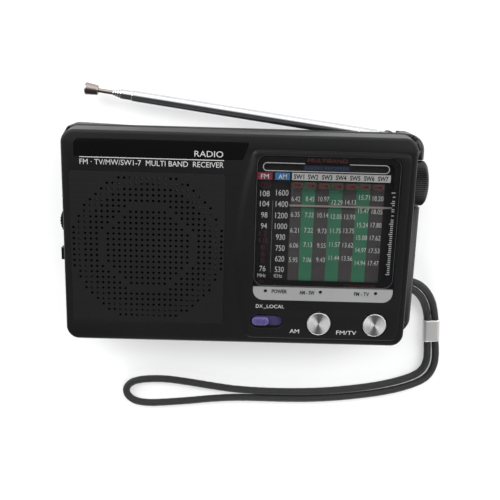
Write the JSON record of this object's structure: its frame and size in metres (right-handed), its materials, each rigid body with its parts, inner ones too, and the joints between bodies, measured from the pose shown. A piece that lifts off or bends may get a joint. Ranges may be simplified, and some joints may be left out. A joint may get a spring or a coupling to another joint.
{
  "type": "shortwave receiver",
  "caption": "Flat portable shortwave receiver with a punched loudspeaker grille, dial window, pointer drive, side knob, folding telescopic antenna, battery door and wrist strap.",
  "frame": {"origin": "middle of the back face that the receiver lies on", "axes": "+X to the tuning knob, +Y to the antenna, +Z out of the dial"},
  "size_m": [0.2246, 0.1949, 0.0439],
  "materials": {
    "case_plastic": "fine satin texture",
    "rear_plastic": "fine satin texture",
    "lens": "tinted, glossy",
    "silver_paint": "satin",
    "scale_print": "printed",
    "board": "varnished",
    "led_green_board": "varnished",
    "led_red": "clear",
    "steel": "bright",
    "magnet": "plain",
    "cone_paper": "pressed paper",
    "can": "satin",
    "chip": "moulded",
    "sleeve_blue": "heat-shrink sleeve",
    "ferrite": "fired",
    "copper": "enamelled wire",
    "ivory": "moulded",
    "knob_black": "ribbed",
    "nylon_cord": "twisted",
    "pointer": "moulded",
    "phenolic": "plain",
    "purple": "ribbed",
    "button_metal": "spun",
    "cell": "printed sleeve",
    "chrome": "polished",
    "nickel": "dark nickel",
    "base_metal": "satin",
    "anchor": "moulded",
    "strap_braid": "braided"
  },
  "bodies": {
    "case": {"front_case": "case_plastic", "rear_case": "rear_plastic", "speaker_grille": "case_plastic", "dial_lens": "lens", "indicator_bar": "silver_paint", "dial_scale": "scale_print", "led_board": "led_green_board", "indicator_leds": "led_red", "speaker_frame": "steel", "speaker_magnet": "magnet", "speaker_clamps": "steel", "circuit_board": "board", "tuning_capacitor": "ivory", "if_transformers": "can", "chips": "chip", "electrolytics": "sleeve_blue", "ferrite_rod": "ferrite", "ferrite_coils": "copper", "ferrite_holders": "ivory", "pulley_pins": "steel", "dial_cord": "nylon_cord", "pointer_rail": "steel", "volume_pot": "phenolic", "side_board": "board", "band_switch": "steel", "dx_switch": "steel", "push_switches": "ivory", "headphone_jack": "steel", "power_jack": "chip", "battery_cells": "cell", "battery_contacts": "steel", "case_screws": "steel", "board_screws": "steel", "antenna_bracket": "steel", "strap_anchor": "anchor", "strap_cord": "strap_braid", "strap_clamp": "chrome"},
    "cone": {"speaker_cone": "cone_paper"},
    "tuner": {"tuning_knob": "knob_black", "tuning_drum": "ivory"},
    "pulley_front": {"front_pulley": "ivory"},
    "pulley_rear": {"rear_pulley": "ivory"},
    "pointer": {"dial_pointer": "pointer"},
    "volume": {"volume_wheel": "knob_black"},
    "band": {"band_knob": "knob_black"},
    "dx": {"dx_knob": "purple"},
    "button_am": {"am_button": "button_metal"},
    "button_fm": {"fm_button": "button_metal"},
    "door": {"battery_door": "rear_plastic"},
    "swivel": {"antenna_base": "base_metal", "hinge_pin": "base_metal"},
    "tube_1": {"antenna_tube_1": "chrome"},
    "tube_2": {"antenna_tube_2": "chrome"},
    "tube_3": {"antenna_tube_3": "chrome"},
    "tube_4": {"antenna_tube_4": "chrome"},
    "tube_5": {"antenna_tube_5": "chrome"},
    "tip": {"antenna_rod": "nickel", "antenna_tip": "nickel"}
  },
  "joints": [
    {"name": "tuning", "type": "hinge", "parent": "case", "child": "tuner", "pos_m": [0.088, 0.0302, 0.019], "axis": [1, 0, 0], "range_deg": [-37.4, 142.1]},
    {"name": "pointer_travel", "type": "slide", "parent": "case", "child": "pointer", "axis": [0, -1, 0], "range_m": [-0.0096, 0.0362]},
    {"name": "front_pulley_turn", "type": "hinge", "parent": "case", "child": "pulley_front", "pos_m": [0.088, -0.024, 0.0305], "axis": [1, 0, 0], "range_deg": [-182, 688]},
    {"name": "rear_pulley_turn", "type": "hinge", "parent": "case", "child": "pulley_rear", "pos_m": [0.088, -0.024, 0.0075], "axis": [1, 0, 0], "range_deg": [-182, 688]},
    {"name": "volume_turn", "type": "hinge", "parent": "case", "child": "volume", "pos_m": [-0.0889, 0.003, 0.013], "axis": [0, 0, 1], "range_deg": [-140, 140]},
    {"name": "band_select", "type": "slide", "parent": "case", "child": "band", "axis": [0, -1, 0], "range_m": [0, 0.018]},
    {"name": "dx_select", "type": "slide", "parent": "case", "child": "dx", "axis": [1, 0, 0], "range_m": [0, 0.0068]},
    {"name": "am_press", "type": "slide", "parent": "case", "child": "button_am", "axis": [0, 0, -1], "range_m": [0, 0.0015], "stiffness_N_per_m": 300, "springref_m": -0.0015},
    {"name": "fm_press", "type": "slide", "parent": "case", "child": "button_fm", "axis": [0, 0, -1], "range_m": [0, 0.0015], "stiffness_N_per_m": 300, "springref_m": -0.0015},
    {"name": "cone_travel", "type": "slide", "parent": "case", "child": "cone", "axis": [0, 0, 1], "range_m": [-0.0005, 0.0005], "stiffness_N_per_m": 1500},
    {"name": "door_slide", "type": "slide", "parent": "case", "child": "door", "axis": [0, -1, 0], "range_m": [0, 0.038]},
    {"name": "antenna_swivel", "type": "hinge", "parent": "case", "child": "swivel", "pos_m": [0.082, 0.054, 0.009], "axis": [0, -1, 0], "range_deg": [0, 90]},
    {"name": "antenna_tilt", "type": "hinge", "parent": "swivel", "child": "tube_1", "pos_m": [0.082, 0.054, 0.009], "axis": [0, 0, -1], "range_deg": [-5.2, 82.6]},
    {"name": "antenna_slide_2", "type": "slide", "parent": "tube_1", "child": "tube_2", "axis": [-0.9917, 0.1288, 0], "range_m": [0, 0.118]},
    {"name": "antenna_slide_3", "type": "slide", "parent": "tube_2", "child": "tube_3", "axis": [-0.9917, 0.1288, 0], "range_m": [0, 0.118]},
    {"name": "antenna_slide_4", "type": "slide", "parent": "tube_3", "child": "tube_4", "axis": [-0.9917, 0.1288, 0], "range_m": [0, 0.118]},
    {"name": "antenna_slide_5", "type": "slide", "parent": "tube_4", "child": "tube_5", "axis": [-0.9917, 0.1288, 0], "range_m": [0, 0.118]},
    {"name": "antenna_slide_tip", "type": "slide", "parent": "tube_5", "child": "tip", "axis": [-0.9917, 0.1288, 0], "range_m": [0, 0.118]}
  ],
  "couplings": [
    {"joint": "pointer_travel", "follows": "tuning", "m_per_rad": 0.0145},
    {"joint": "front_pulley_turn", "follows": "tuning", "ratio": 4.8333},
    {"joint": "rear_pulley_turn", "follows": "tuning", "ratio": 4.8333}
  ]
}
